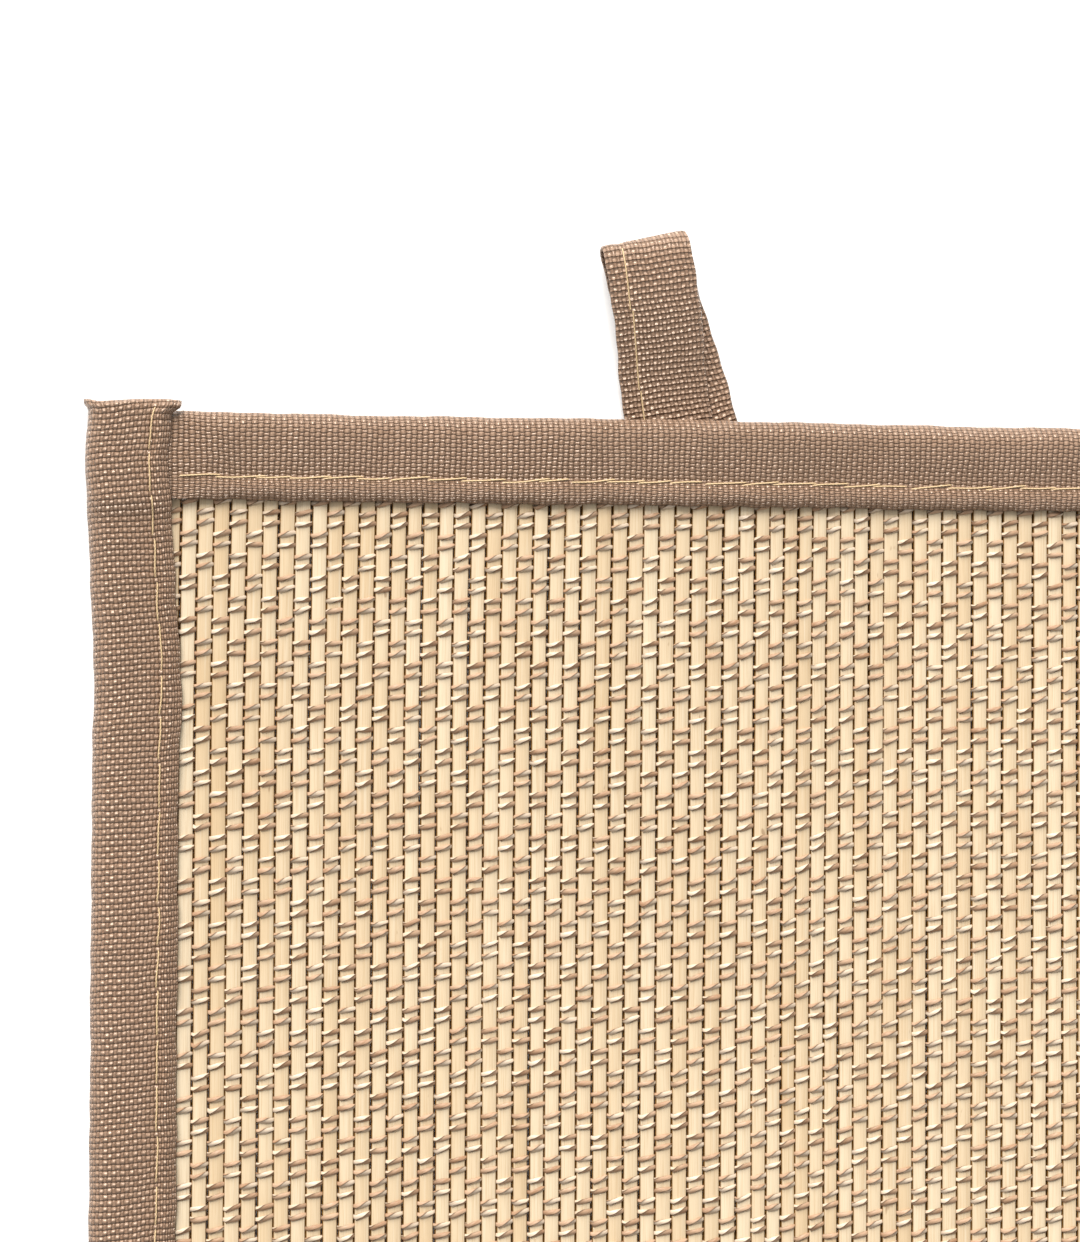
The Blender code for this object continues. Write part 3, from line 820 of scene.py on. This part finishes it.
def stitches(surface, start, end, step, seed, down=1.0, overlap=0.0, slant=0.0, limp=0.10, uneven=0.14):
    """Paths of stitches along a line. surface gives a point on the cloth for a place along it."""
    luck = np.random.default_rng(seed)
    paths = []
    lengths = luck.uniform(1 - uneven, 1 + uneven, max(round((end - start) / step), 1))
    lengths *= (end - start) / lengths.sum()
    for place, length in zip(start + np.cumsum(lengths) - lengths, lengths):
        t = np.linspace(0, 1, 9)
        dive = -0.30 * MM + 0.50 * MM * np.minimum(np.sin(t * math.pi) * 2.4, 1.0)
        bow = luck.normal(0, limp * MM) * np.sin(t * math.pi)
        lean = (slant + luck.normal(0, 0.3 * slant + 0.06)) * MM * (t - 0.5)
        reach = length * (1 + overlap * luck.uniform(0.3, 1.4)) - 0.4 * MM
        base = surface(place + 0.2 * MM + t * reach, bow + lean)
        base[:, 2] += down * dive
        paths.append(base)
    return paths


def tape_surface(points, axis, inset_index):
    """A function that reads a tape's grid at a place along it, moved sideways a little."""
    line = points[:, inset_index]
    order = np.argsort(line[:, axis])
    key = line[order, axis]

    def read(place, sideways):
        result = np.stack([np.interp(place, key, line[order, k]) for k in range(3)], -1)
        result[:, 1 - axis] += sideways
        return result

    return read


# Build


def build():
    bamboo = bamboo_material()
    yarn = yarn_material()
    cloth = cloth_material("tape_cloth")
    strap_cloth = cloth_material("strap_cloth")
    thread = thread_material()
    pieces = {}

    slats = make_slats(bamboo)
    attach(slats, "root")
    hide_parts("slat_panel")
    first = int(np.ceil((TAPE_WIDTH - UNDER_TAPE - FIRST_YARN) / YARN_PITCH))
    last = int((2 * HALF_LENGTH - TAPE_WIDTH + UNDER_TAPE - FIRST_YARN) / YARN_PITCH)
    bands = np.linspace(first, last, 6).astype(int)
    for number, (a, b) in enumerate(zip(bands, bands[1:]), 1):
        band = make_yarns(f"yarns_{number}", a, b, yarn)
        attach(band, "root")

    sewn = []
    for name, node, side, seed in (("tape_top", "binding_top", 1, 11),
                                   ("tape_bottom", "binding_bottom", -1, 23)):
        tape, points = make_end_tape(name, side, seed, cloth)
        tape_length = 2 * (HALF_WIDTH - END_TAPE_INSET)
        pieces[node] = (tape, tape_length)
        reach = HALF_WIDTH - SIDE_TAPE_WIDTH + 1 * MM
        for front in (True, False):
            surface = tape_surface(points, 0, SEAM_COLUMN_FRONT if front else SEAM_COLUMN_BACK)
            sewn += stitches(surface, -reach, reach, END_STITCH, seed + front, 1.0 if front else -1.0,
                             0.35 if front else 0.0, 0.75 if front else 0.1)
    for name, node, side, seed in (("tape_left", "binding_left", -1, 37),
                                   ("tape_right", "binding_right", 1, 53)):
        tape, points = make_side_tape(name, side, seed, cloth)
        pieces[node] = (tape, 2 * (HALF_LENGTH + END_OVERHANG))
        reach = HALF_LENGTH + 1.0 * MM
        for front in (True, False):
            surface = tape_surface(points, 1, SEAM_COLUMN_FRONT if front else SEAM_COLUMN_BACK)
            sewn += stitches(surface, -reach, reach, SIDE_STITCH, seed + front, 1.0 if front else -1.0,
                             0.04, 0.35)
    tape_stitches = thread_tubes("tape_stitches", sewn, thread)
    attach(tape_stitches, "root")
    for node, (tape, length) in pieces.items():
        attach(tape, "root")
        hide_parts(node)

    strap, middle, across, normal, along, seam, half = make_loop(strap_cloth)
    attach(strap, "root")
    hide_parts("hanging_loop")

    def on_strap(place, sideways):
        result = []
        for p, s in zip(place, sideways):
            middle_at = np.array([np.interp(p, along, middle[:, k]) for k in range(3)])
            across_at = np.array([np.interp(p, along, across[:, k]) for k in range(3)])
            normal_at = np.array([np.interp(p, along, normal[:, k]) for k in range(3)])
            result.append(middle_at + across_at * (seam + s) + normal_at * (half * 0.6 + 0.1 * MM))
        return np.array(result)

    loop_seam_end = LOOP_STITCH_START + LOOP_STITCH_COUNT * LOOP_STITCH
    loop_paths = stitches(on_strap, LOOP_STITCH_START, loop_seam_end, LOOP_STITCH, 71,
                          down=0.0, slant=0.5, limp=0.0, uneven=0.0)
    loop_stitches = thread_tubes("loop_stitches", loop_paths, thread)
    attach(loop_stitches, "root")


def add_stage():
    """A white floor, a bright even surround and a broad soft light from the mat's top edge."""
    bpy.ops.mesh.primitive_plane_add(size=FLOOR_SIZE, location=(0, 0, -FLOOR_DROP))
    floor = bpy.context.object
    floor.name = "floor"
    paint = bpy.data.materials.new("floor_white")
    paint.use_nodes = True
    shader = paint.node_tree.nodes["Principled BSDF"]
    shader.inputs["Base Color"].default_value = (0.96, 0.96, 0.96, 1)
    shader.inputs["Roughness"].default_value = 0.9
    floor.data.materials.append(paint)
    world = bpy.data.worlds.new("studio")
    bpy.context.scene.world = world
    world.use_nodes = True
    surround = world.node_tree.nodes["Background"]
    surround.inputs[0].default_value = (1.0, 1.0, 1.0, 1)
    surround.inputs[1].default_value = SURROUND_STRENGTH
    key = bpy.data.objects.new("key", bpy.data.lights.new("key", "SUN"))
    key.data.energy = SUN_STRENGTH
    key.data.angle = SUN_SPREAD
    key.data.color = (1.0, 0.985, 0.96)
    key.rotation_euler = Vector(SUN_DIRECTION).to_track_quat("-Z", "Y").to_euler()
    bpy.context.scene.collection.objects.link(key)
    bpy.context.scene.view_settings.view_transform = "Standard"


# The camera looks down on the corner of the mat, turned a little to its right
IMAGE_HEIGHT, FOCAL_PIXELS, SENSOR = 1242, 3000.0, 36.0
CAMERA_PLACE = (-316.2 * MM, 135.6 * MM, 739.8 * MM)
CAMERA_YAW, CAMERA_PITCH, CAMERA_ROLL = math.radians(-9.74), math.radians(1.06), math.radians(0.23)


def add_camera():
    camera = bpy.data.objects.new("camera", bpy.data.cameras.new("camera"))
    camera.data.sensor_width = SENSOR
    camera.data.lens = FOCAL_PIXELS / IMAGE_HEIGHT * SENSOR
    camera.data.clip_start = 0.01
    turn = (Matrix.Rotation(CAMERA_YAW, 4, "Y") @ Matrix.Rotation(CAMERA_PITCH, 4, "X")
            @ Matrix.Rotation(CAMERA_ROLL, 4, "Z"))
    camera.matrix_world = Matrix.Translation(Vector(CAMERA_PLACE) + CENTRE) @ turn
    bpy.context.scene.collection.objects.link(camera)
    bpy.context.scene.camera = camera


add_camera()
add_stage()
build()
